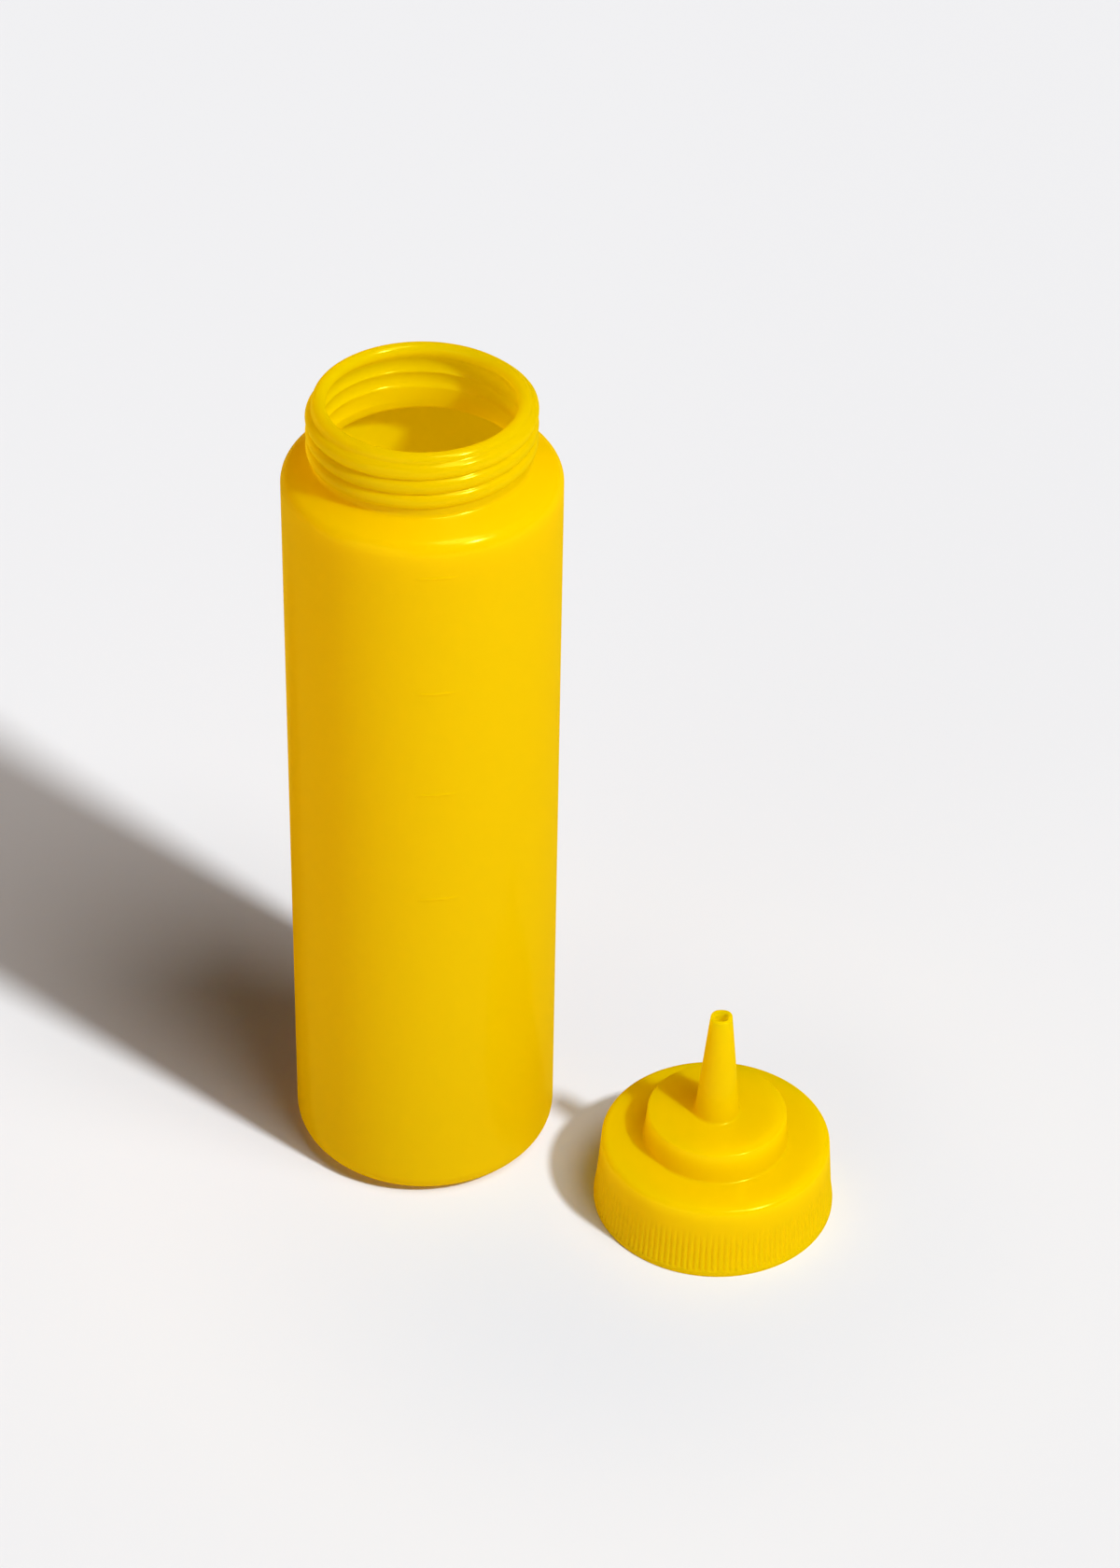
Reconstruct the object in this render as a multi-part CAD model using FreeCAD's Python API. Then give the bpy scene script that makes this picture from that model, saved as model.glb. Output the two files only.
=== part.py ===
"""Squeeze bottle for sauce, with its cone-tip cap standing beside it.

Two mouldings, each one solid in its own STEP file:
  bottle    blow-moulded: a thin hollow shell with a pushed-up base, a rounded shoulder,
            a wide open neck with a rolled lip, and four faint fill lines on the front
  cone_cap  injection-moulded: a ribbed skirt, a raised step and a hollow cone nozzle
            snipped off almost level at its tip; it stands open side down

Millimetres, +Z up. The origin is the middle of the bottle's base, on the surface that
both pieces stand on. The bottle's screw thread is not part of this model.
"""
import FreeCAD, Part
import math
import os

# ---- bottle: driving dimensions -----------------------------------------------------
BODY_RADIUS = 38.1          # outside of the straight wall
BOTTLE_HEIGHT = 252.0       # floor to the top of the lip
BOTTLE_WALL = 1.0           # blow-moulded wall, even all over
BASE_EDGE_RADIUS = 7.8      # large rounding between base and wall
PUSH_UP_RADIUS = 27.0       # the base's middle is pushed up inside this radius
PUSH_UP_HEIGHT = 2.6
PUSH_UP_ROUND = 5.2         # rounding at the foot of the push-up's slope
STANDING_ROUND = 1.2        # rounding between the standing ring and the push-up
SHOULDER_START = 225.8      # where the straight wall ends
SHOULDER_RADIUS = 5.0       # tight rounding at the top of the wall
SHOULDER_TURN = 60.0        # degrees that the rounding turns before the slope begins
NECK_RADIUS = 29.5          # outside of the neck, at the bottom of its thread
NECK_FOOT_ROUND = 1.3       # inner corner where the shoulder's slope meets the neck
LIP_RADIUS = 27.45          # circle that the middle of the rolled lip follows
LIP_ROUND = 1.87            # radius of the lip's own round section
NECK_INSIDE = 27.9          # clear radius inside the neck, below the lip

# ---- fill lines on the bottle's front -----------------------------------------------
FILL_LINE_HEIGHTS = (111.9, 148.3, 182.3, 219.7)
FILL_LINE_WIDTH = 0.9       # height of the raised line
FILL_LINE_PROUD = 0.2       # how far it stands out of the wall
FILL_LINE_START = -92.3     # degrees round the bottle, -90 being the front
FILL_LINE_END = -76.9

# ---- cap: driving dimensions ----------------------------------------------------------
CAP_X = 84.2                # where the cap stands
CAP_Y = -37.7
CAP_HEIGHT = 23.5           # floor to the flat top round the step
RIM_RADIUS = 35.0           # smooth band at the open end
RIM_HEIGHT = 1.6
RIM_ROUND = 0.5
SKIRT_FOOT_RADIUS = 34.35   # skirt just above the flare into the rim
SKIRT_FOOT_HEIGHT = 6.0
SKIRT_FLARE_RADIUS = 4.0    # rounding between the skirt and its flare
SKIRT_TOP_RADIUS = 33.2
TOP_EDGE_RADIUS = 1.8
CAP_INSIDE_RADIUS = 31.7    # runs free over the bottle's thread
TOP_PLATE = 1.7
INNER_CORNER = 1.0
BORE_CORNER = 0.5           # rounding where the bore opens into the step's pocket

RIB_COUNT = 124
GROOVE_FLOOR_RADIUS = 33.45  # groove floors stay upright while the skirt widens downwards
GROOVE_SHARE = 0.52         # groove width at the rim as a share of the rib pitch

STEP_FOOT_RADIUS = 20.8     # the step's side leans in a little towards its top
STEP_RADIUS = 20.1
STEP_TOP = 33.2
STEP_EDGE_ROUND = 0.7
STEP_FOOT_ROUND = 0.8
STEP_INSIDE_RADIUS = 18.6
STEP_PLATE = 1.6

NOZZLE_FOOT_RADIUS = 6.5    # cone's outside where it leaves the step
NOZZLE_TIP_RADIUS = 3.15
NOZZLE_TIP = 68.6
NOZZLE_FOOT_ROUND = 0.8
BORE_FOOT_RADIUS = 5.1
BORE_TIP_RADIUS = 2.2
TIP_CUT_TILT = 4.0          # degrees: the tip was snipped off by hand

CLEARANCE = 5.0             # how far a cutting shape runs on past the surface it opens
COLLAR = 2.0                # how far the nozzle's buried foot reaches out past its rounding


def point(radius, height):
    """A point of a profile, in the half plane that is turned about the Z axis."""
    return FreeCAD.Vector(radius, 0, height)


class Profile:
    """An outline of lines and arcs, drawn point by point in the radius-height plane."""

    def __init__(self, radius, height):
        self.start = point(radius, height)
        self.pen = self.start
        self.edges = []

    def line(self, radius, height):
        """Draw a straight line to the given radius and height."""
        end = point(radius, height)
        self.edges.append(Part.LineSegment(self.pen, end).toShape())
        self.pen = end
        return self

    def arc(self, centre_radius, centre_height, arc_radius, from_deg, to_deg):
        """Draw an arc about a centre; it starts where the pen is."""
        def on_arc(degrees):
            turn = math.radians(degrees)
            return point(centre_radius + arc_radius * math.cos(turn),
                         centre_height + arc_radius * math.sin(turn))
        end = on_arc(to_deg)
        middle = on_arc((from_deg + to_deg) / 2)
        self.edges.append(Part.Arc(self.pen, middle, end).toShape())
        self.pen = end
        return self

    def solid(self):
        """Close the outline and turn it once round the Z axis."""
        if not self.pen.isEqual(self.start, 1e-7):
            self.line(self.start.x, self.start.z)
        face = Part.Face(Part.Wire(self.edges))
        return face.revolve(FreeCAD.Vector(0, 0, 0), FreeCAD.Vector(0, 0, 1), 360)


def corner(before, at, after, radius):
    """Tangent points and centre of a rounding of a profile's corner.

    All are (radius, height) pairs; returns start, end, centre and the two angles."""
    def unit(a, b):
        length = math.hypot(b[0] - a[0], b[1] - a[1])
        return ((b[0] - a[0]) / length, (b[1] - a[1]) / length)
    back = unit(at, before)
    ahead = unit(at, after)
    half = math.acos(back[0] * ahead[0] + back[1] * ahead[1]) / 2
    reach = radius / math.tan(half)
    start = (at[0] + back[0] * reach, at[1] + back[1] * reach)
    end = (at[0] + ahead[0] * reach, at[1] + ahead[1] * reach)
    middle = (back[0] + ahead[0], back[1] + ahead[1])
    scale = radius / math.sin(half) / math.hypot(*middle)
    centre = (at[0] + middle[0] * scale, at[1] + middle[1] * scale)
    from_deg = math.degrees(math.atan2(start[1] - centre[1], start[0] - centre[0]))
    to_deg = math.degrees(math.atan2(end[1] - centre[1], end[0] - centre[0]))
    while to_deg - from_deg > 180:
        to_deg -= 360
    while to_deg - from_deg < -180:
        to_deg += 360
    return start, end, centre, from_deg, to_deg


def rounded_profile(corners):
    """Closed profile through corners of (radius, height, rounding)."""
    count = len(corners)
    profile = None
    for index in range(count):
        before = corners[index - 1]
        at = corners[index]
        after = corners[(index + 1) % count]
        if at[2] > 0:
            start, end, centre, from_deg, to_deg = corner(before, at, after, at[2])
        else:
            start = end = at[:2]
        if profile is None:
            profile = Profile(*start)
        elif not profile.pen.isEqual(point(*start), 1e-7):
            profile.line(*start)
        if at[2] > 0:
            profile.arc(centre[0], centre[1], at[2], from_deg, to_deg)
    return profile.solid()


# ---- bottle ---------------------------------------------------------------------------
def shoulder_slope_end():
    """Where the shoulder's rounding ends and its slope begins, as (radius, height)."""
    turn = math.radians(SHOULDER_TURN)
    return (BODY_RADIUS - SHOULDER_RADIUS * (1 - math.cos(turn)),
            SHOULDER_START + SHOULDER_RADIUS * math.sin(turn))


def neck_foot_height(neck_radius, inset):
    """Height at which the shoulder's slope, moved inwards by inset, reaches a radius."""
    start_radius, start_height = shoulder_slope_end()
    turn = math.radians(SHOULDER_TURN)
    rise_per_radius = math.cos(turn) / math.sin(turn)
    lowered = inset / math.sin(turn)
    return start_height + (start_radius - neck_radius) * rise_per_radius - lowered


def shell_of_bottle(inset):
    """Solid inside the bottle's outside surface moved inwards by inset.

    With inset 0 it is the outer form; with the wall thickness it is the cavity,
    which runs on up through the neck and out of the mouth."""
    wall = BODY_RADIUS - inset
    neck = NECK_RADIUS if inset == 0 else NECK_INSIDE
    foot = neck_foot_height(neck, inset)
    corner_height = SHOULDER_START + (SHOULDER_RADIUS - inset) * math.tan(
        math.radians(SHOULDER_TURN / 2))
    top = BOTTLE_HEIGHT - LIP_ROUND if inset == 0 else BOTTLE_HEIGHT + CLEARANCE
    corners = [
        (0.0, PUSH_UP_HEIGHT + inset, 0.0),
        (PUSH_UP_RADIUS - PUSH_UP_ROUND, PUSH_UP_HEIGHT + inset, PUSH_UP_ROUND),
        (PUSH_UP_RADIUS, inset, STANDING_ROUND + 2 * inset),
        (wall, inset, BASE_EDGE_RADIUS - inset),
        (wall, corner_height, SHOULDER_RADIUS - inset),
        (neck, foot, NECK_FOOT_ROUND),
        (neck, top, 0.0),
        (0.0, top, 0.0),
    ]
    return rounded_profile(corners)


def lip():
    """Rolled lip: a full round ring on the top of the neck."""
    return Part.makeTorus(LIP_RADIUS, LIP_ROUND,
                          FreeCAD.Vector(0, 0, BOTTLE_HEIGHT - LIP_ROUND))


def fill_line(height):
    """One raised line, a short arc lying just proud of the body's wall."""
    sweep = FILL_LINE_END - FILL_LINE_START
    low = height - FILL_LINE_WIDTH / 2
    high = height + FILL_LINE_WIDTH / 2
    inner = BODY_RADIUS - BOTTLE_WALL / 2
    outer = BODY_RADIUS + FILL_LINE_PROUD
    section = Part.makePolygon([point(inner, low), point(outer, low), point(outer, high),
                                point(inner, high), point(inner, low)])
    bar = Part.Face(section).revolve(FreeCAD.Vector(0, 0, 0), FreeCAD.Vector(0, 0, 1), sweep)
    bar.rotate(FreeCAD.Vector(0, 0, 0), FreeCAD.Vector(0, 0, 1), FILL_LINE_START)
    return bar


def make_bottle():
    """Hollow bottle in one piece."""
    outside = shell_of_bottle(0.0)
    cavity = shell_of_bottle(BOTTLE_WALL)
    bottle = outside.cut(cavity)
    bottle = bottle.fuse([lip()] + [fill_line(height) for height in FILL_LINE_HEIGHTS])
    return bottle.removeSplitter()


# ---- cap ------------------------------------------------------------------------------
def cap_outside():
    """Outer form of the cap without its ribs' grooves and its nozzle."""
    return rounded_profile([
        (0.0, 0.0, 0.0),
        (RIM_RADIUS, 0.0, RIM_ROUND),
        (RIM_RADIUS, RIM_HEIGHT, RIM_ROUND),
        (SKIRT_FOOT_RADIUS, SKIRT_FOOT_HEIGHT, SKIRT_FLARE_RADIUS),
        (SKIRT_TOP_RADIUS, CAP_HEIGHT, TOP_EDGE_RADIUS),
        (STEP_FOOT_RADIUS, CAP_HEIGHT, STEP_FOOT_ROUND),
        (STEP_RADIUS, STEP_TOP, STEP_EDGE_ROUND),
        (0.0, STEP_TOP, 0.0),
    ])


def cap_inside():
    """Hollow of the cap: room for the bottle's neck, the step's pocket and the bore."""
    ceiling = CAP_HEIGHT - TOP_PLATE
    step_ceiling = STEP_TOP - STEP_PLATE
    return rounded_profile([
        (0.0, -CLEARANCE, 0.0),
        (CAP_INSIDE_RADIUS, -CLEARANCE, 0.0),
        (CAP_INSIDE_RADIUS, ceiling, INNER_CORNER),
        (STEP_INSIDE_RADIUS, ceiling, INNER_CORNER),
        (STEP_INSIDE_RADIUS, step_ceiling, INNER_CORNER),
        (BORE_FOOT_RADIUS, step_ceiling, BORE_CORNER),
        (BORE_TIP_RADIUS, NOZZLE_TIP + CLEARANCE, 0.0),
        (0.0, NOZZLE_TIP + CLEARANCE, 0.0),
    ])


def nozzle():
    """Outside of the cone nozzle, flared where it grows out of the step."""
    buried = STEP_TOP - STEP_PLATE / 2
    return rounded_profile([
        (0.0, buried, 0.0),
        (NOZZLE_FOOT_RADIUS + COLLAR, buried, 0.0),
        (NOZZLE_FOOT_RADIUS + COLLAR, STEP_TOP, 0.0),
        (NOZZLE_FOOT_RADIUS, STEP_TOP, NOZZLE_FOOT_ROUND),
        (NOZZLE_TIP_RADIUS, NOZZLE_TIP, 0.0),
        (0.0, NOZZLE_TIP, 0.0),
    ])


def tip_cut():
    """Block above the slanting cut that opens the nozzle's tip."""
    size = 4 * NOZZLE_TIP_RADIUS
    block = Part.makeBox(size, size, size, FreeCAD.Vector(-size / 2, -size / 2, 0))
    block.rotate(FreeCAD.Vector(0, 0, 0), FreeCAD.Vector(0, 1, 0), TIP_CUT_TILT)
    drop = NOZZLE_TIP_RADIUS * math.tan(math.radians(TIP_CUT_TILT))
    block.translate(FreeCAD.Vector(0, 0, NOZZLE_TIP - drop))
    return block


def groove():
    """One groove between two ribs: an upright wedge that stands on the rim.

    Its floor is upright, so it gets shallower as the skirt narrows upwards and runs
    out below the cap's top edge. The wedge is drawn twice as deep as the groove, so
    that it cuts clear of the skirt."""
    pitch = 2 * math.pi * SKIRT_FOOT_RADIUS / RIB_COUNT
    depth = SKIRT_FOOT_RADIUS - GROOVE_FLOOR_RADIUS
    half_width = GROOVE_SHARE * pitch
    outer = GROOVE_FLOOR_RADIUS + 2 * depth
    floor = FreeCAD.Vector(GROOVE_FLOOR_RADIUS, 0, RIM_HEIGHT)
    left = FreeCAD.Vector(outer, -half_width, RIM_HEIGHT)
    right = FreeCAD.Vector(outer, half_width, RIM_HEIGHT)
    section = Part.makePolygon([floor, left, right, floor])
    return Part.Face(section).extrude(FreeCAD.Vector(0, 0, CAP_HEIGHT))


def all_grooves():
    """Every groove round the skirt."""
    grooves = []
    for index in range(RIB_COUNT):
        turned = groove()
        turned.rotate(FreeCAD.Vector(0, 0, 0), FreeCAD.Vector(0, 0, 1), 360 * index / RIB_COUNT)
        grooves.append(turned)
    return grooves


def make_cone_cap():
    """Cap in one piece, moved to where it stands beside the bottle."""
    cap = cap_outside().cut(all_grooves())
    cap = cap.fuse(nozzle())
    cap = cap.cut([cap_inside(), tip_cut()])
    cap = cap.removeSplitter()
    cap.translate(FreeCAD.Vector(CAP_X, CAP_Y, 0))
    return cap


def save(name, shape):
    """Write one checked solid to its STEP file."""
    solid = shape.Solids[0]
    if len(shape.Solids) != 1 or not solid.isValid() or solid.Volume <= 0:
        raise RuntimeError(name + " is not one valid solid")
    box = solid.BoundBox
    print("%s: %.0f x %.0f x %.0f mm, %.0f mm3" % (
        name, box.XLength, box.YLength, box.ZLength, solid.Volume))
    solid.exportStep("parts/" + name + ".step")


os.makedirs("parts", exist_ok=True)
save("bottle", make_bottle())
save("cone_cap", make_cone_cap())
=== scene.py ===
"""Looks of an empty yellow squeeze bottle and the cone-tip cap that stands beside it.

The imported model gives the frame. Both mouldings are modelled again here as fine closed
meshes, because the screw thread, the soft ribs and the snipped nozzle belong to the looks:
  Bottle    the blown shell with its thread, rolled lip and fill lines
  ConeCap   the moulded cap with its ribbed skirt, step, nozzle and inner thread
  Studio    pale floor, key lamp, two soft lamps, even fill and camera
Sizes of the pieces are in millimetres and those of the studio in metres. Every mesh is
written in metres.
"""
import logging
import math
from dataclasses import dataclass, field
from enum import Enum
from typing import Callable, Iterator

import bpy
from mathutils import Matrix, Vector


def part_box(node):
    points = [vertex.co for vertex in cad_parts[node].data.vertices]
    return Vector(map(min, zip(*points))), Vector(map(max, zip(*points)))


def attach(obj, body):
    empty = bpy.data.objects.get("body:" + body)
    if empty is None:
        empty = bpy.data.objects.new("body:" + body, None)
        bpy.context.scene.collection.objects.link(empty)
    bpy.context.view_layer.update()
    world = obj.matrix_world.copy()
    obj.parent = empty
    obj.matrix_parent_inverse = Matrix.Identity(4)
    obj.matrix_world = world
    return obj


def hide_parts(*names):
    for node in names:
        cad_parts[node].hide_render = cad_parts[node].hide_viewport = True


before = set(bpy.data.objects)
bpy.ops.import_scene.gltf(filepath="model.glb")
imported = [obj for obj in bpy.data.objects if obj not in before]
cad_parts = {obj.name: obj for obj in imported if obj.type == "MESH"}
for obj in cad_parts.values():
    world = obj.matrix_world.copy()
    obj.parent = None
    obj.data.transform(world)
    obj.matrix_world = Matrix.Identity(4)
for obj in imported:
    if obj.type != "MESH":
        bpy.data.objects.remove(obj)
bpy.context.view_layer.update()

MM = 0.001
BODY = "root"
FRONT_ANGLE = -90.0     # degrees round an upright axis, on the side of the camera
TOUCHING = 0.01         # millimetres within which a row counts as lying on a wall
BOUNCES = 12            # enough for light to pass through both walls and back
Point = tuple[float, float]     # radius and height on an outline
Colour = tuple[float, float, float]
log = logging.getLogger("squeeze_bottle")


# ---- small tools ----------------------------------------------------------------------------
class Face(Enum):
    """Which face of a wall a row of points lies on."""

    OUTSIDE = "outside"
    INSIDE = "inside"
    RIBBED = "ribbed"


def smooth_step(low: float, high: float, value: float) -> float:
    """Ease from 0 at low to 1 at high.

    Args:
        low: value where the result is 0.
        high: value where the result is 1.
        value: the value to ease.

    Returns:
        A number from 0 to 1 with level ends.
    """
    share = min(max((value - low) / (high - low), 0.0), 1.0)
    return share * share * (3.0 - 2.0 * share)


def corner_arc(before: Point, at: Point, after: Point, radius: float,
               count: int) -> list[Point]:
    """Points of the rounding of one corner of an outline.

    Args:
        before: the corner before, as (radius, height).
        at: the corner that is rounded.
        after: the corner after.
        radius: radius of the rounding.
        count: number of steps along the arc.

    Returns:
        The arc's points from the side of before to the side of after.
    """
    corner = Vector(at)
    back = (Vector(before) - corner).normalized()
    ahead = (Vector(after) - corner).normalized()
    half = math.acos(max(-1.0, min(1.0, back.dot(ahead)))) / 2
    centre = corner + (back + ahead).normalized() * (radius / math.sin(half))
    first = corner + back * (radius / math.tan(half)) - centre
    last = corner + ahead * (radius / math.tan(half)) - centre
    turn = math.atan2(first.x * last.y - first.y * last.x, first.dot(last))
    points = []
    for step in range(count + 1):
        angle = turn * step / count
        cosine, sine = math.cos(angle), math.sin(angle)
        points.append((centre.x + first.x * cosine - first.y * sine,
                       centre.y + first.x * sine + first.y * cosine))
    return points


def spread(start: Point, end: Point, spacing: float) -> list[Point]:
    """Even points on a straight stretch, its two ends left out.

    Args:
        start: (radius, height) of the first end.
        end: (radius, height) of the other end.
        spacing: longest step between points.

    Returns:
        The points between the two ends.
    """
    length = math.dist(start, end)
    count = max(1, math.ceil(length / spacing))
    return [(start[0] + (end[0] - start[0]) * step / count,
             start[1] + (end[1] - start[1]) * step / count) for step in range(1, count)]


@dataclass
class Row:
    """One ring of an outline: its radius, its height and the face it lies on."""

    radius: float
    height: float
    face: Face


@dataclass
class Corner:
    """A corner of an outline, with its rounding and the spacing of the stretch after it."""

    radius: float
    height: float
    rounding: float = 0.0
    spacing: float = 4.0
    steps: int = 6


def outline(corners: list[Corner], face: Face) -> list[Row]:
    """Rows along an open outline of rounded corners.

    Args:
        corners: the corners in order; the first and last aren't rounded.
        face: the face that they lie on.

    Returns:
        One row for each ring of vertices.
    """
    points = [(corners[0].radius, corners[0].height)]
    for index in range(1, len(corners)):
        corner = corners[index]
        before = corners[index - 1]
        at = (corner.radius, corner.height)
        if corner.rounding > 0 and index < len(corners) - 1:
            after = corners[index + 1]
            arc = corner_arc((before.radius, before.height), at,
                             (after.radius, after.height), corner.rounding, corner.steps)
        else:
            arc = [at]
        points += spread(points[-1], arc[0], before.spacing) + arc
    return [Row(radius, height, face) for radius, height in points]


def ring_mesh(name: str, sections: list[tuple[list[Row], int]],
              place: Callable[[Row, float], Point], middle: Vector) -> bpy.types.Object:
    """Closed mesh turned about an upright axis, with rings that may wander.

    Args:
        name: name of the new object.
        sections: the rings in order round the closed outline, each stretch with the
            number of vertices in its rings; a ring of radius 0 is one vertex.
        place: gives the true radius and height of a row at an angle, in millimetres.
        middle: where the axis stands, in millimetres.

    Returns:
        The object, linked to the scene.
    """
    vertices, rings, faces = [], [], []
    for rows, columns in sections:
        for row in rows:
            ring = []
            for column in range(columns if row.radius > 0 else 1):
                angle = 2 * math.pi * column / columns
                radius, height = place(row, angle)
                ring.append(len(vertices))
                vertices.append(((middle.x + radius * math.cos(angle)) * MM,
                                 (middle.y + radius * math.sin(angle)) * MM, height * MM))
            rings.append(ring)
    for index, ring in enumerate(rings):
        faces += band(ring, rings[(index + 1) % len(rings)])
    return mesh_object(name, vertices, faces)


def band(low: list[int], high: list[int]) -> list[tuple[int, ...]]:
    """Faces between two rings, whose counts may be equal, one, or a multiple.

    Args:
        low: vertex numbers of the ring before.
        high: vertex numbers of the ring after.

    Returns:
        The faces, wound the same way all round; none between two single points.
    """
    if len(low) == 1 and len(high) == 1:
        return []
    if len(low) == 1:
        return [(low[0], high[(i + 1) % len(high)], high[i]) for i in range(len(high))]
    if len(high) == 1:
        return [(low[i], low[(i + 1) % len(low)], high[0]) for i in range(len(low))]
    if len(low) <= len(high):
        ratio = len(high) // len(low)
        faces = []
        for i in range(len(low)):
            fan = [high[(i * ratio + k) % len(high)] for k in range(ratio, -1, -1)]
            faces.append((low[i], low[(i + 1) % len(low)], *fan))
        return faces
    ratio = len(low) // len(high)
    faces = []
    for i in range(len(high)):
        fan = [low[(i * ratio + k) % len(low)] for k in range(ratio + 1)]
        faces.append((*fan, high[(i + 1) % len(high)], high[i]))
    return faces


def mesh_object(name: str, vertices: list[tuple[float, float, float]],
                faces: list[tuple[int, ...]]) -> bpy.types.Object:
    """Object with a smooth-shaded mesh.

    Args:
        name: name of the object and its mesh.
        vertices: places in metres.
        faces: vertex numbers of each face.

    Returns:
        The object, linked to the scene.
    """
    mesh = bpy.data.meshes.new(name)
    mesh.from_pydata(vertices, [], faces)
    mesh.validate()
    mesh.shade_smooth()
    mesh.update()
    made = bpy.data.objects.new(name, mesh)
    bpy.context.scene.collection.objects.link(made)
    return made


# ---- screw thread ---------------------------------------------------------------------------
@dataclass(frozen=True)
class ScrewThread:
    """A single-start right-hand thread as a height field over angle and height.

    Angles are in degrees round the axis and go on past a full turn: the thread starts at
    top_angle, near the mouth, and runs down clockwise to foot_angle. It passes the front
    at front_height.
    """

    front_height: float
    pitch: float = 4.5
    top_angle: float = 62.0
    foot_angle: float = -985.0
    top_fade: float = 46.0
    foot_fade: float = 60.0
    half_width: float = 2.25
    roundness: float = 0.62

    def strands(self, angle: float) -> Iterator[tuple[float, float]]:
        """Strands that cross one angle.

        Args:
            angle: angle round the axis in radians.

        Yields:
            The strand's middle height, and how far it has risen, 0 to 1.
        """
        turned = math.degrees(angle)
        while turned > self.top_angle:
            turned -= 360.0
        while turned > self.foot_angle:
            height = self.front_height + self.pitch * (turned - FRONT_ANGLE) / 360.0
            risen = (smooth_step(self.top_angle, self.top_angle - self.top_fade, turned)
                     * smooth_step(self.foot_angle, self.foot_angle + self.foot_fade, turned))
            yield height, risen
            turned -= 360.0

    def rise(self, angle: float, height: float) -> float:
        """Height of the ridge over its root at one spot.

        Args:
            angle: angle round the axis in radians.
            height: height in millimetres.

        Returns:
            0 in the groove up to 1 on the crest.
        """
        best = 0.0
        for middle, risen in self.strands(angle):
            across = abs(height - middle) / self.half_width
            if across < 1.0:
                best = max(best, risen * (1.0 - across * across) ** self.roundness)
        return best


# ---- finishes -------------------------------------------------------------------------------
def add_node(tree: bpy.types.NodeTree, kind: str, values: dict | None = None,
             **options) -> bpy.types.Node:
    """Add one shader node.

    Args:
        tree: where the node goes.
        kind: the node's type, such as ShaderNodeMath.
        values: what its inputs are set to, by their name or number.
        options: settings of the node itself, made before its inputs are set.

    Returns:
        The node.
    """
    node = tree.nodes.new(kind)
    for option, setting in options.items():
        setattr(node, option, setting)
    for socket, value in (values or {}).items():
        node.inputs[socket].default_value = value
    return node


def opaque(colour: Colour) -> tuple[float, float, float, float]:
    """The colour with a full fourth channel."""
    return (*colour, 1.0)


@dataclass(frozen=True)
class SurfaceGrain:
    """Fine unevenness that every soft moulding shares; scales are per metre."""

    cloud_detail: float = 1.0
    scuff_detail: float = 2.0
    scuff_stretch: tuple[float, float, float] = (1.0, 1.0, 0.16)
    scuff_turn: tuple[float, float, float] = (0.5, 0.3, 0.2)
    scuff_low: float = 0.60
    scuff_high: float = 0.72
    wave_scale: float = 45.0
    wave_height: float = 0.0006

    def group(self) -> bpy.types.NodeTree:
        """Shader group for moulded plastic: cloudy tint, scuffs, gloss and fine relief.

        Returns:
            The node group, with outputs Colour, Roughness and Normal.
        """
        tree = bpy.data.node_groups.new("moulded_surface", "ShaderNodeTree")
        sockets = {
            "INPUT": {"Colour": "Color", "Thick Colour": "Color", "Cloud Scale": "Float",
                      "Roughness": "Float", "Roughness Spread": "Float",
                      "Scuff Scale": "Float", "Scuff Amount": "Float", "Relief": "Float"},
            "OUTPUT": {"Colour": "Color", "Roughness": "Float", "Normal": "Vector"},
        }
        for way, named in sockets.items():
            for name, kind in named.items():
                tree.interface.new_socket(name=name, in_out=way,
                                          socket_type="NodeSocket" + kind)
        links = tree.links
        source = add_node(tree, "NodeGroupInput")
        target = add_node(tree, "NodeGroupOutput")
        place = add_node(tree, "ShaderNodeTexCoord")

        clouds = add_node(tree, "ShaderNodeTexNoise", {"Detail": self.cloud_detail})
        links.new(place.outputs["Object"], clouds.inputs["Vector"])
        links.new(source.outputs["Cloud Scale"], clouds.inputs["Scale"])
        tint = add_node(tree, "ShaderNodeMix", data_type="RGBA")
        links.new(clouds.outputs["Fac"], tint.inputs["Factor"])
        links.new(source.outputs["Colour"], tint.inputs["A"])
        links.new(source.outputs["Thick Colour"], tint.inputs["B"])
        links.new(tint.outputs["Result"], target.inputs["Colour"])

        drift = add_node(tree, "ShaderNodeMath", operation="MULTIPLY_ADD")
        links.new(clouds.outputs["Fac"], drift.inputs[0])
        links.new(source.outputs["Roughness Spread"], drift.inputs[1])
        links.new(source.outputs["Roughness"], drift.inputs[2])
        stretch = add_node(tree, "ShaderNodeMapping", {"Scale": self.scuff_stretch,
                                                       "Rotation": self.scuff_turn})
        links.new(place.outputs["Object"], stretch.inputs["Vector"])
        hairs = add_node(tree, "ShaderNodeTexNoise", {"Detail": self.scuff_detail})
        links.new(stretch.outputs["Vector"], hairs.inputs["Vector"])
        links.new(source.outputs["Scuff Scale"], hairs.inputs["Scale"])
        scuffs = add_node(tree, "ShaderNodeMapRange", {"From Min": self.scuff_low,
                                                       "From Max": self.scuff_high})
        links.new(hairs.outputs["Fac"], scuffs.inputs["Value"])
        scuffed = add_node(tree, "ShaderNodeMath", operation="MULTIPLY_ADD")
        links.new(scuffs.outputs["Result"], scuffed.inputs[0])
        links.new(source.outputs["Scuff Amount"], scuffed.inputs[1])
        links.new(drift.outputs["Value"], scuffed.inputs[2])
        links.new(scuffed.outputs["Value"], target.inputs["Roughness"])

        waves = add_node(tree, "ShaderNodeTexNoise", {"Scale": self.wave_scale,
                                                      "Detail": 0.0})
        links.new(place.outputs["Object"], waves.inputs["Vector"])
        relief = add_node(tree, "ShaderNodeBump", {"Distance": self.wave_height})
        links.new(waves.outputs["Fac"], relief.inputs["Height"])
        links.new(source.outputs["Relief"], relief.inputs["Strength"])
        links.new(relief.outputs["Normal"], target.inputs["Normal"])
        return tree


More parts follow.
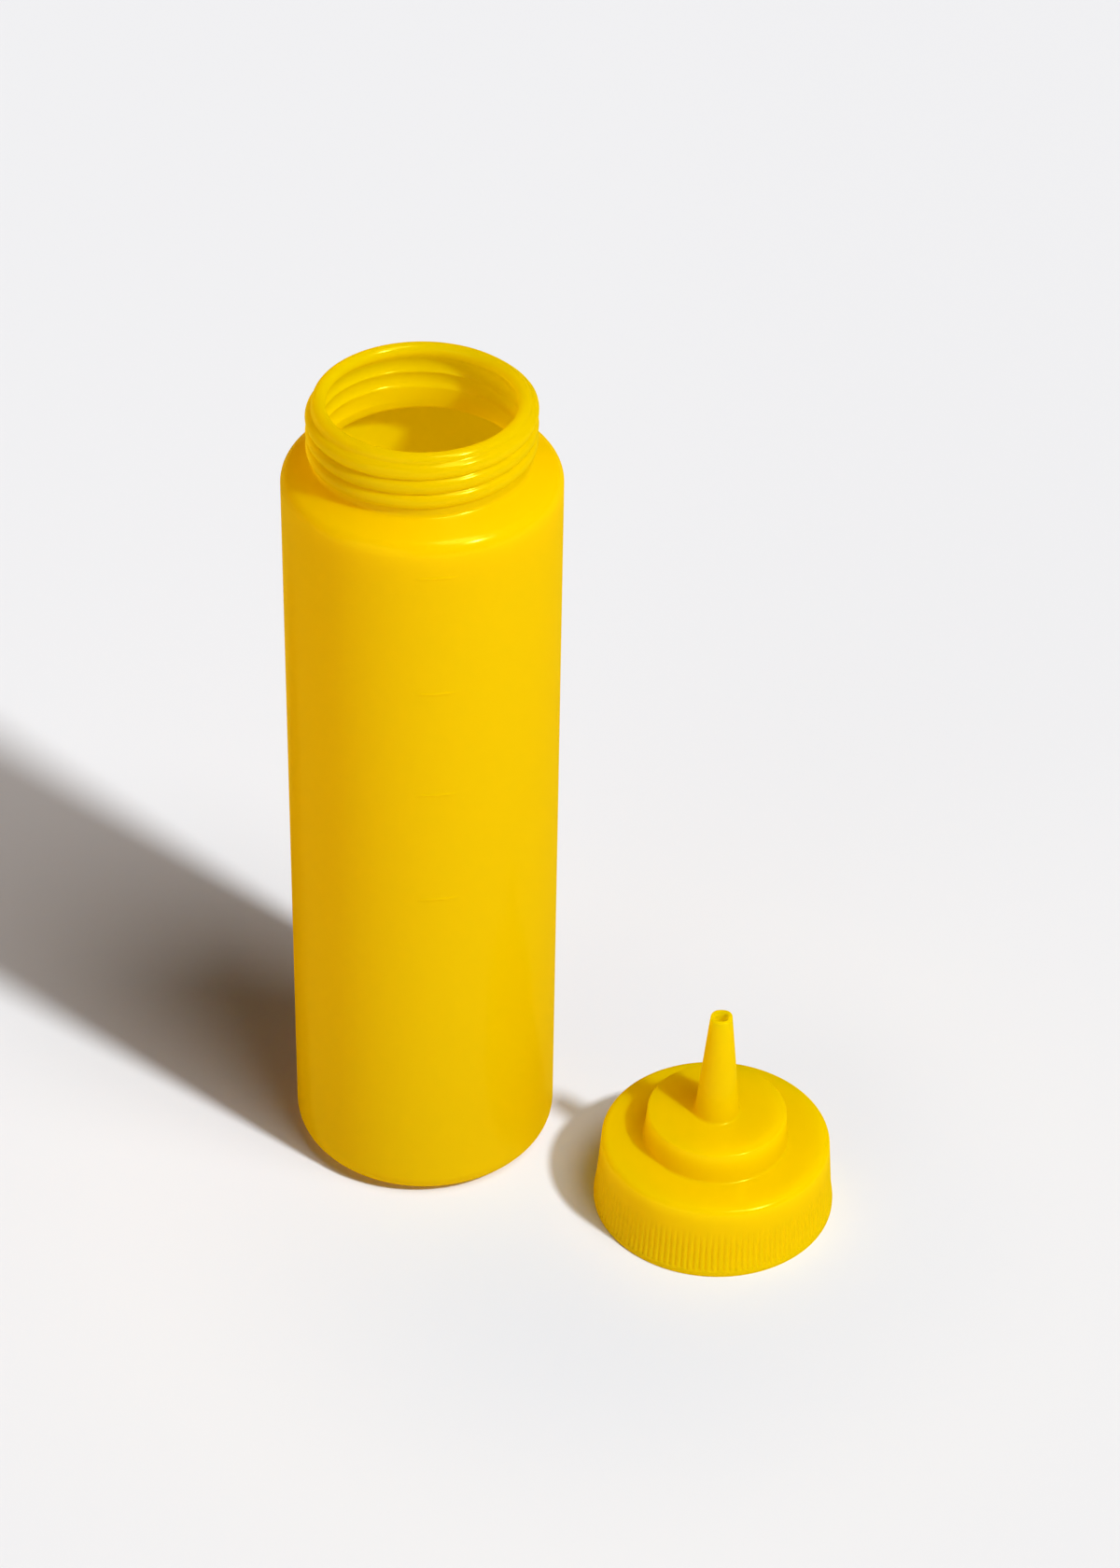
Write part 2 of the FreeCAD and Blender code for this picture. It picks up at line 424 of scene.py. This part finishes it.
@dataclass(frozen=True)
class PlasticFinish:
    """Soft moulded plastic that glows a little where light comes through it."""

    name: str
    slot: str
    colour: Colour
    thick_colour: Colour
    scuffs: float
    through_colour: Colour = (1.0, 0.774, 0.0)
    through_share: float = 0.76
    roughness: float = 0.14
    roughness_spread: float = 0.04
    relief: float = 0.0035
    face_shine: float = 0.03
    edge_shine: float = 0.18
    edge_blend: float = 0.5
    edge_power: float = 5.0
    shine_tint: Colour = (1.0, 0.9, 0.07)
    cloud_scale: float = 16.0
    scuff_scale: float = 260.0

    def material(self, surface: bpy.types.NodeTree) -> bpy.types.Material:
        """Build the material.

        Args:
            surface: the moulded-surface group.

        Returns:
            The finished material.
        """
        made = bpy.data.materials.new(self.name)
        made.use_nodes = True
        tree = made.node_tree
        links = tree.links
        skin = add_node(tree, "ShaderNodeGroup", {
            "Colour": opaque(self.colour),
            "Thick Colour": opaque(self.thick_colour),
            "Cloud Scale": self.cloud_scale,
            "Roughness": self.roughness,
            "Roughness Spread": self.roughness_spread,
            "Scuff Scale": self.scuff_scale,
            "Scuff Amount": self.scuffs,
            "Relief": self.relief,
        }, node_tree=surface)
        shader = tree.nodes["Principled BSDF"]
        shader.inputs["Specular IOR Level"].default_value = 0.0
        links.new(skin.outputs["Colour"], shader.inputs["Base Color"])
        through = add_node(tree, "ShaderNodeBsdfTranslucent",
                           {"Color": opaque(self.through_colour)})
        body = add_node(tree, "ShaderNodeMixShader", {"Fac": self.through_share})
        links.new(shader.outputs["BSDF"], body.inputs[1])
        links.new(through.outputs["BSDF"], body.inputs[2])

        shine = add_node(tree, "ShaderNodeBsdfAnisotropic",
                         {"Color": opaque(self.shine_tint)})
        facing = add_node(tree, "ShaderNodeLayerWeight", {"Blend": self.edge_blend})
        steep = add_node(tree, "ShaderNodeMath", {1: self.edge_power}, operation="POWER")
        links.new(facing.outputs["Facing"], steep.inputs[0])
        share = add_node(tree, "ShaderNodeMath", {1: self.edge_shine, 2: self.face_shine},
                         operation="MULTIPLY_ADD")
        links.new(steep.outputs["Value"], share.inputs[0])
        glossed = add_node(tree, "ShaderNodeMixShader")
        links.new(share.outputs["Value"], glossed.inputs["Fac"])
        links.new(body.outputs["Shader"], glossed.inputs[1])
        links.new(shine.outputs["BSDF"], glossed.inputs[2])
        links.new(glossed.outputs["Shader"], tree.nodes["Material Output"].inputs["Surface"])

        for part in (shader, shine):
            links.new(skin.outputs["Roughness"], part.inputs["Roughness"])
        for part in (shader, shine, facing):
            links.new(skin.outputs["Normal"], part.inputs["Normal"])
        return made


BLOWN_PLASTIC = PlasticFinish(
    name="blown_yellow_plastic", slot="bottle_plastic",
    colour=(1.0, 0.99, 0.0), thick_colour=(1.0, 0.955, 0.0), scuffs=0.08)
MOULDED_PLASTIC = PlasticFinish(
    name="moulded_yellow_plastic", slot="cap_plastic",
    colour=(1.0, 1.0, 0.0), thick_colour=(1.0, 0.98, 0.0), scuffs=0.06,
    through_colour=(1.0, 0.795, 0.0))


# ---- bottle ---------------------------------------------------------------------------------
@dataclass
class Bottle:
    """The blown bottle: base, wall with fill lines, shoulder, threaded neck and lip."""

    node: str = "bottle"
    columns: int = 256
    wall: float = 1.0
    base_edge: float = 7.8
    push_up_radius: float = 27.0
    push_up_height: float = 2.6
    standing_round: float = 1.2
    shoulder_drop: float = 26.2
    shoulder_round: float = 5.0
    shoulder_turn: float = 60.0
    neck_root: float = 29.5
    neck_foot_round: float = 1.3
    neck_wall: float = 2.7
    shoulder_wall: float = 3.2
    lip_circle: float = 27.45
    lip_round: float = 1.87
    lip_first_turn: float = -8.0
    lip_turn: float = 9.0
    lip_rows: int = 27
    lip_drop_outside: float = 0.6
    lip_drop_inside: float = 2.2
    thread_drop: float = 4.5
    thread_reach: float = 2.5
    thread_depth: float = 1.6
    inner_thread_depth: float = 0.9
    thread_row: float = 0.28
    line_heights: tuple[float, ...] = (111.9, 148.3, 182.3, 219.7)
    line_width: float = 0.8
    line_proud: float = 0.17
    line_middle: float = -84.6
    line_length: float = 15.4
    line_outer_edge: float = 1.25
    line_inner_edge: float = 0.55
    line_end: float = 0.9
    line_rows_each_side: int = 6
    line_rows_per_width: int = 8
    middle: Vector = field(init=False)
    radius: float = field(init=False)
    height: float = field(init=False)
    thread: ScrewThread = field(init=False)

    def __post_init__(self) -> None:
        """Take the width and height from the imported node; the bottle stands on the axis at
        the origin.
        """
        low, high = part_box(self.node)
        self.radius = min(-low.x, high.y) / MM
        self.height = high.z / MM
        self.middle = Vector((0.0, 0.0))
        self.thread = ScrewThread(front_height=self.height - self.thread_drop)

    def slope_start(self) -> Point:
        """Where the shoulder's rounding ends and its slope begins, as (radius, height)."""
        turn = math.radians(self.shoulder_turn)
        return (self.radius - self.shoulder_round * (1 - math.cos(turn)),
                self.height - self.shoulder_drop + self.shoulder_round * math.sin(turn))

    def slope_height(self, radius: float, inset: float) -> float:
        """Height of the shoulder's slope at a radius.

        Args:
            radius: radius in millimetres.
            inset: how far the slope is moved in, square to itself.

        Returns:
            Height in millimetres.
        """
        start_radius, start_height = self.slope_start()
        turn = math.radians(self.shoulder_turn)
        return (start_height + (start_radius - radius) / math.tan(turn)
                - inset / math.sin(turn))

    def wall_corners(self, inset: float, slope_inset: float, neck: float,
                     top: float) -> list[Corner]:
        """Corners from the base's middle up the wall and over the shoulder to the neck.

        Args:
            inset: 0 outside, the wall's thickness inside.
            slope_inset: the same, where the shoulder meets the neck.
            neck: radius of the neck on that side.
            top: height where the neck's straight part ends.

        Returns:
            The corners of the outline.
        """
        lift = self.push_up_height
        corner_height = (self.height - self.shoulder_drop + (self.shoulder_round - inset)
                         * math.tan(math.radians(self.shoulder_turn / 2)))
        return [
            Corner(0.0, lift + inset, spacing=5.0),
            Corner(self.push_up_radius - 2 * lift, lift + inset, 2 * lift, 1.0, 6),
            Corner(self.push_up_radius, inset, self.standing_round + 2 * inset, 2.0, 5),
            Corner(self.radius - inset, inset, self.base_edge - inset, 9.0, 14),
            Corner(self.radius - inset, corner_height, self.shoulder_round - inset, 1.0, 14),
            Corner(neck, self.slope_height(neck, slope_inset), self.neck_foot_round,
                   self.thread_row, 7),
            Corner(neck, top, spacing=self.thread_row),
        ]

    def with_line_rows(self, rows: list[Row]) -> list[Row]:
        """Add close rows across each fill line, so that it can be raised.

        Args:
            rows: the outside rows from the base up.

        Returns:
            The same rows with more in between, in order of height along the wall.
        """
        step = self.line_width / self.line_rows_per_width
        extra = [Row(self.radius, height + count * step, Face.OUTSIDE)
                 for height in self.line_heights
                 for count in range(-self.line_rows_each_side, self.line_rows_each_side + 1)]
        clear = [row for row in rows
                 if row.radius <= self.radius - TOUCHING
                 or all(abs(row.height - height) >= self.line_width
                        for height in self.line_heights)]
        wall = [index for index, row in enumerate(clear)
                if row.radius > self.radius - TOUCHING]
        start, end = wall[0], wall[-1] + 1
        straight = sorted(clear[start:end] + extra, key=lambda row: row.height)
        return clear[:start] + straight + clear[end:]

    def rows(self) -> list[Row]:
        """All rings, from the middle of the base up outside, over the lip and down inside.

        Returns:
            The rows in order.
        """
        lip_middle = self.height - self.lip_round
        outside = self.with_line_rows(outline(
            self.wall_corners(0.0, 0.0, self.neck_root, lip_middle - self.lip_drop_outside),
            Face.OUTSIDE))
        lip = []
        for step in range(self.lip_rows):
            turn = math.radians(self.lip_first_turn + step * self.lip_turn)
            lip.append(Row(self.lip_circle + self.lip_round * math.cos(turn),
                           lip_middle + self.lip_round * math.sin(turn), Face.OUTSIDE))
        inside = outline(
            self.wall_corners(self.wall, self.shoulder_wall, self.neck_root - self.neck_wall,
                              lip_middle - self.lip_drop_inside),
            Face.INSIDE)
        return outside + lip + inside[::-1]

    def line_rise(self, angle: float, height: float) -> float:
        """How far a fill line stands proud at one spot of the wall.

        Args:
            angle: angle round the axis in radians.
            height: height in millimetres.

        Returns:
            The rise in millimetres.
        """
        turned = (math.degrees(angle) - self.line_middle + 180) % 360 - 180
        along = abs(turned) / (self.line_length / 2)
        if along >= 1.0:
            return 0.0
        nearest = min(self.line_heights, key=lambda line: abs(line - height))
        across = abs(height - nearest) / (self.line_width / 2)
        if across >= self.line_outer_edge:
            return 0.0
        return (self.line_proud
                * smooth_step(self.line_outer_edge, self.line_inner_edge, across)
                * smooth_step(1.0, self.line_end, along))

    def place(self, row: Row, angle: float) -> Point:
        """True radius and height of a row at an angle.

        Args:
            row: the ring.
            angle: angle round the axis in radians.

        Returns:
            Radius and height in millimetres.
        """
        radius, height = row.radius, row.height
        neck_start = self.height - self.shoulder_drop + self.shoulder_round
        if height > neck_start and radius < self.neck_root + self.thread_reach:
            rise = self.thread.rise(angle, height)
            if row.face is Face.INSIDE:
                radius += self.inner_thread_depth * rise
            elif radius > self.lip_circle:
                radius += self.thread_depth * rise
        elif row.face is Face.OUTSIDE and radius > self.radius - TOUCHING:
            radius += self.line_rise(angle, height)
        return radius, height

    def build(self, surface: bpy.types.NodeTree) -> bpy.types.Object:
        """Make and dress the bottle.

        Args:
            surface: the moulded-surface group.

        Returns:
            The bottle's object.
        """
        piece = ring_mesh("squeeze_bottle_body", [(self.rows(), self.columns)], self.place,
                          self.middle)
        piece.data.materials.append(BLOWN_PLASTIC.material(surface))
        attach(piece, BODY)
        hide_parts(self.node)
        return piece


# ---- cap ------------------------------------------------------------------------------------
@dataclass
class ConeCap:
    """The moulded cap, standing on its open rim with the nozzle up."""

    node: str = "cone_cap"
    columns: int = 248
    rib_count: int = 124
    columns_per_rib: int = 8
    rim_height: float = 1.6
    rim_round: float = 0.5
    rim_draw_in: float = 0.12
    section_gap: float = 0.05
    skirt_foot_inset: float = 0.65
    skirt_foot_height: float = 6.0
    skirt_top_inset: float = 1.8
    top_height: float = 23.5
    top_edge: float = 1.8
    groove_floor_inset: float = 1.4
    groove_limit: float = 0.52
    groove_run_in: float = 1.0
    groove_share: float = 0.7
    step_foot_radius: float = 20.9
    step_radius: float = 20.1
    step_top: float = 33.2
    step_edge: float = 0.6
    step_foot: float = 0.8
    nozzle_foot: float = 6.5
    nozzle_tip: float = 3.15
    nozzle_foot_round: float = 0.9
    inside_radius: float = 31.7
    top_plate: float = 1.7
    step_inside: float = 18.6
    step_plate: float = 1.6
    bore_foot: float = 5.1
    bore_tip: float = 2.2
    cut_tilt: float = 4.0
    cut_facing: float = 200.0
    cut_reach: float = 2.5
    cut_wobble: float = 0.12
    cut_waves: int = 3
    cut_wobble_start: float = 0.6
    inner_thread_depth: float = 1.1
    middle: Vector = field(init=False)
    radius: float = field(init=False)
    height: float = field(init=False)
    thread: ScrewThread = field(init=False)

    def __post_init__(self) -> None:
        """Take the place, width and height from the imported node."""
        low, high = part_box(self.node)
        self.radius = (high.x - low.x) / 2 / MM
        self.height = high.z / MM
        self.middle = Vector(((high.x + low.x) / 2 / MM, (high.y + low.y) / 2 / MM))
        self.thread = ScrewThread(front_height=15.0, top_angle=60.0, foot_angle=-700.0,
                                  half_width=1.3, roundness=0.8)

    def skirt_rows(self) -> list[Row]:
        """Rings of the ribbed skirt, from just above the rim to under the top's edge.

        Returns:
            The rows in order.
        """
        rim = self.radius
        return outline([
            Corner(rim, self.rim_height, spacing=0.15),
            Corner(rim - self.rim_draw_in, self.rim_height + self.groove_run_in,
                   spacing=0.4),
            Corner(rim - self.skirt_foot_inset, self.skirt_foot_height, 4.0, 0.9, 8),
            Corner(rim - self.skirt_top_inset, self.top_height - self.top_edge
                   - 2 * self.section_gap),
        ], Face.RIBBED)

    def upper_rows(self) -> list[Row]:
        """Rings from the top's edge over the step and the nozzle's outside to its tip.

        Returns:
            The rows in order.
        """
        rim = self.radius
        return outline([
            Corner(rim - self.skirt_top_inset, self.top_height - self.top_edge
                   - self.section_gap),
            Corner(rim - self.skirt_top_inset, self.top_height, self.top_edge, 2.5, 9),
            Corner(self.step_foot_radius, self.top_height, self.step_foot, 1.5, 8),
            Corner(self.step_radius, self.step_top, self.step_edge, 2.5, 8),
            Corner(self.nozzle_foot, self.step_top, self.nozzle_foot_round, 2.0, 8),
            Corner(self.nozzle_tip, self.height, 0.15, 0.3, 3),
            Corner(self.bore_tip, self.height),
        ], Face.OUTSIDE)

    def inner_rows(self) -> list[Row]:
        """Rings from the bore's mouth at the tip down inside to the rim's edge.

        Returns:
            The rows in order.
        """
        ceiling = self.top_height - self.top_plate
        step_ceiling = self.step_top - self.step_plate
        return outline([
            Corner(self.bore_tip, self.height, spacing=2.5),
            Corner(self.bore_foot, step_ceiling, 0.5, 2.5, 4),
            Corner(self.step_inside, step_ceiling, 1.0, 2.5, 5),
            Corner(self.step_inside, ceiling, 1.0, 2.5, 5),
            Corner(self.inside_radius, ceiling, 1.0, 0.45, 5),
            Corner(self.inside_radius, 0.0, 0.3, 1.0, 3),
            Corner(self.radius, 0.0, self.rim_round, 0.5, 6),
            Corner(self.radius, self.rim_height - 4 * self.section_gap),
        ], Face.INSIDE)

    def groove_depth(self, angle: float, row: Row) -> float:
        """Depth of the grooves between the ribs at one spot of the skirt.

        Args:
            angle: angle round the axis in radians.
            row: the ring of the skirt.

        Returns:
            Depth in millimetres, 0 on a rib.
        """
        share = (angle * self.rib_count / (2 * math.pi)) % 1.0
        across = abs(share - 0.5) / (self.groove_share / 2)
        if across >= 1.0:
            return 0.0
        floor = self.radius - self.groove_floor_inset
        depth = min(max(row.radius - floor, 0.0), self.groove_limit)
        run_in = smooth_step(self.rim_height, self.rim_height + self.groove_run_in, row.height)
        return depth * run_in * (0.5 + 0.5 * math.cos(math.pi * across))

    def place(self, row: Row, angle: float) -> Point:
        """True radius and height of a row at an angle.

        Args:
            row: the ring.
            angle: angle round the axis in radians.

        Returns:
            Radius and height in millimetres.
        """
        radius, height = row.radius, row.height
        uncut = self.height - self.cut_reach
        if height > uncut:
            slant = math.cos(angle - math.radians(self.cut_facing))
            wobble = self.cut_wobble * math.sin(self.cut_waves * angle
                                                + self.cut_wobble_start)
            drop = radius * math.tan(math.radians(self.cut_tilt)) * (1 + slant)
            share = (height - uncut) / self.cut_reach
            height -= share * max(drop - wobble, 0.0)
        if row.face is Face.INSIDE:
            radius -= self.inner_thread_depth * self.thread.rise(angle, height)
        elif row.face is Face.RIBBED:
            radius -= self.groove_depth(angle, row)
        return radius, height

    def build(self, surface: bpy.types.NodeTree) -> bpy.types.Object:
        """Make and dress the cap.

        Args:
            surface: the moulded-surface group.

        Returns:
            The cap's object.
        """
        piece = ring_mesh("cone_tip_cap_body", [
            (self.inner_rows(), self.columns),
            (self.skirt_rows(), self.rib_count * self.columns_per_rib),
            (self.upper_rows(), self.columns),
        ], self.place, self.middle)
        piece.data.materials.append(MOULDED_PLASTIC.material(surface))
        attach(piece, BODY)
        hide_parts(self.node)
        return piece


# ---- studio ---------------------------------------------------------------------------------
@dataclass
class Studio:
    """Pale floor, key lamp from the front right, two soft lamps, even fill and the camera.

    Lengths are in metres. The floor's colour holds a painted shade: it is darker and cooler
    in a soft round patch under the pieces, to hold back the yellow light they throw on it.
    """

    floor_size: float = 80.0
    floor_roughness: float = 0.9
    floor_colour: Colour = (0.765, 0.768, 0.785)
    # painted shade on the floor under the pieces: its colour, its middle, and where it starts
    # and ends fading out
    painted_shade_colour: Colour = (0.65, 0.682, 0.745)
    painted_shade_middle: tuple[float, float, float] = (0.05, -0.04, 0.0)
    painted_shade_inner: float = 0.02
    painted_shade_outer: float = 0.15
    key_place: tuple[float, float, float] = (0.866, -0.774, 1.26)
    key_power: float = 30.4
    key_radius: float = 0.07
    key_spread_limit: float = 0.05
    key_colour: Colour = (0.94, 0.975, 1.0)
    soft_power: float = 1.31
    soft_angle: float = 26.0
    soft_heading: float = -43.0
    soft_rise: float = 64.0
    soft_colour: Colour = (1.0, 0.92, 0.86)
    front_power: float = 0.70
    front_angle: float = 50.0
    front_heading: float = -125.0
    front_rise: float = 8.0
    fill_strength: float = 0.01
    backdrop_strength: float = 0.87
    eye: tuple[float, float, float] = (0.0, -0.96958, 0.86327)
    heading: float = 0.0397
    pitch: float = 0.6517
    roll: float = 0.0193
    lens: float = 99.08
    sensor: float = 36.0
    near_clip: float = 0.01
    far_clip: float = 100.0

    def floor(self) -> bpy.types.Object:
        """Lay the floor.

        Returns:
            The floor's object, marked as stage.
        """
        half = self.floor_size / 2
        made = mesh_object("studio_floor", [(-half, -half, 0), (half, -half, 0),
                                            (half, half, 0), (-half, half, 0)], [(0, 1, 2, 3)])
        material = bpy.data.materials.new("pale_floor")
        material.use_nodes = True
        tree = material.node_tree
        links = tree.links
        shader = tree.nodes["Principled BSDF"]
        shader.inputs["Roughness"].default_value = self.floor_roughness
        shader.inputs["Specular IOR Level"].default_value = 0.0
        # Painted shade: a soft round patch under the pieces, darker and cooler than the rest
        # of the floor, holds back the yellow light that the pieces throw on it.
        place = add_node(tree, "ShaderNodeTexCoord")
        away = add_node(tree, "ShaderNodeVectorMath", {1: self.painted_shade_middle},
                        operation="DISTANCE")
        links.new(place.outputs["Object"], away.inputs[0])
        fade = add_node(tree, "ShaderNodeMapRange",
                        {"From Min": self.painted_shade_inner, "From Max": self.painted_shade_outer},
                        interpolation_type="SMOOTHSTEP")
        links.new(away.outputs["Value"], fade.inputs["Value"])
        tint = add_node(tree, "ShaderNodeMix",
                        {"A": opaque(self.painted_shade_colour), "B": opaque(self.floor_colour)},
                        data_type="RGBA")
        links.new(fade.outputs["Result"], tint.inputs["Factor"])
        links.new(tint.outputs["Result"], shader.inputs["Base Color"])
        made.data.materials.append(material)
        return made

    def lights(self) -> None:
        """Place the key lamp, the two soft lamps and the even fill from all round."""
        self.key_lamp()
        self.far_lamp("soft_lamp", self.soft_power, self.soft_angle, self.soft_heading,
                      self.soft_rise)
        self.far_lamp("front_lamp", self.front_power, self.front_angle, self.front_heading,
                      self.front_rise)
        self.surroundings()

    def key_lamp(self) -> None:
        """Add the key lamp, which casts clear shadows.

        Its strength grows towards the level in step with the slope at which its light
        meets the floor, so that the floor is lit evenly.
        """
        lamp = bpy.data.lights.new("key_lamp", "POINT")
        lamp.energy = self.key_power
        lamp.color = self.key_colour
        lamp.shadow_soft_size = self.key_radius
        lamp.use_nodes = True
        tree = lamp.node_tree
        links = tree.links
        way = add_node(tree, "ShaderNodeTexCoord")
        parts = add_node(tree, "ShaderNodeSeparateXYZ")
        links.new(way.outputs["Normal"], parts.inputs["Vector"])
        down = add_node(tree, "ShaderNodeMath", operation="ABSOLUTE")
        links.new(parts.outputs["Z"], down.inputs[0])
        bounded = add_node(tree, "ShaderNodeMath", {1: self.key_spread_limit},
                           operation="MAXIMUM")
        links.new(down.outputs["Value"], bounded.inputs[0])
        even = add_node(tree, "ShaderNodeMath", {0: 1.0}, operation="DIVIDE")
        links.new(bounded.outputs["Value"], even.inputs[1])
        falloff = add_node(tree, "ShaderNodeLightFalloff")
        links.new(even.outputs["Value"], falloff.inputs["Strength"])
        links.new(falloff.outputs["Constant"], tree.nodes["Emission"].inputs["Strength"])
        key = bpy.data.objects.new("key_lamp", lamp)
        key.location = self.key_place
        key.visible_camera = False
        bpy.context.scene.collection.objects.link(key)

    def surroundings(self) -> None:
        """Fill faintly from all round, and show as a backdrop past the end of the floor."""
        world = bpy.data.worlds.new("studio_fill")
        world.use_nodes = True
        tree = world.node_tree
        background = tree.nodes["Background"]
        background.inputs["Color"].default_value = opaque((1.0, 1.0, 1.0))
        ray = add_node(tree, "ShaderNodeLightPath")
        seen = add_node(tree, "ShaderNodeMath",
                        {1: self.backdrop_strength - self.fill_strength,
                         2: self.fill_strength}, operation="MULTIPLY_ADD")
        tree.links.new(ray.outputs["Is Camera Ray"], seen.inputs[0])
        tree.links.new(seen.outputs["Value"], background.inputs["Strength"])
        bpy.context.scene.world = world

    def far_lamp(self, name: str, power: float, angle: float, heading: float,
                 rise: float) -> None:
        """Add a soft lamp far away.

        Args:
            name: the lamp's name.
            power: its strength on a surface that faces it.
            angle: how wide it looks, in degrees.
            heading: the side it stands on, in degrees round the upright axis.
            rise: how high it stands, in degrees.
        """
        lamp = bpy.data.lights.new(name, "SUN")
        lamp.energy = power
        lamp.color = self.soft_colour
        lamp.angle = math.radians(angle)
        up, side = math.radians(rise), math.radians(heading)
        toward = Vector((math.cos(up) * math.cos(side), math.cos(up) * math.sin(side),
                         math.sin(up)))
        made = bpy.data.objects.new(name, lamp)
        made.rotation_euler = toward.to_track_quat("Z", "Y").to_euler()
        bpy.context.scene.collection.objects.link(made)

    def camera(self) -> None:
        """Set the camera on the object."""
        forward = Vector((math.sin(self.heading) * math.cos(self.pitch),
                          math.cos(self.heading) * math.cos(self.pitch),
                          -math.sin(self.pitch)))
        level = Vector((math.cos(self.heading), -math.sin(self.heading), 0.0))
        upright = level.cross(forward)
        right = math.cos(self.roll) * level + math.sin(self.roll) * upright
        above = -math.sin(self.roll) * level + math.cos(self.roll) * upright
        turn = Matrix((right, above, -forward)).transposed().to_4x4()
        data = bpy.data.cameras.new("camera")
        data.lens = self.lens
        data.sensor_width = self.sensor
        data.clip_start = self.near_clip
        data.clip_end = self.far_clip
        made = bpy.data.objects.new("camera", data)
        made.matrix_world = Matrix.Translation(self.eye) @ turn
        bpy.context.scene.collection.objects.link(made)
        bpy.context.scene.camera = made


def main() -> None:
    """Build every piece in order and report it."""
    logging.basicConfig(level=logging.INFO, format="%(message)s")
    bpy.context.scene.view_settings.view_transform = "Standard"
    bpy.context.scene.cycles.max_bounces = BOUNCES
    bpy.context.scene.cycles.diffuse_bounces = BOUNCES
    studio = Studio()
    studio.floor()
    studio.lights()
    studio.camera()
    surface = SurfaceGrain().group()
    for maker in (Bottle(), ConeCap()):
        piece = maker.build(surface)
        triangles = sum(len(face.vertices) - 2 for face in piece.data.polygons)
        log.info("%s: %d triangles", piece.name, triangles)


if __name__ == "__main__":
    main()
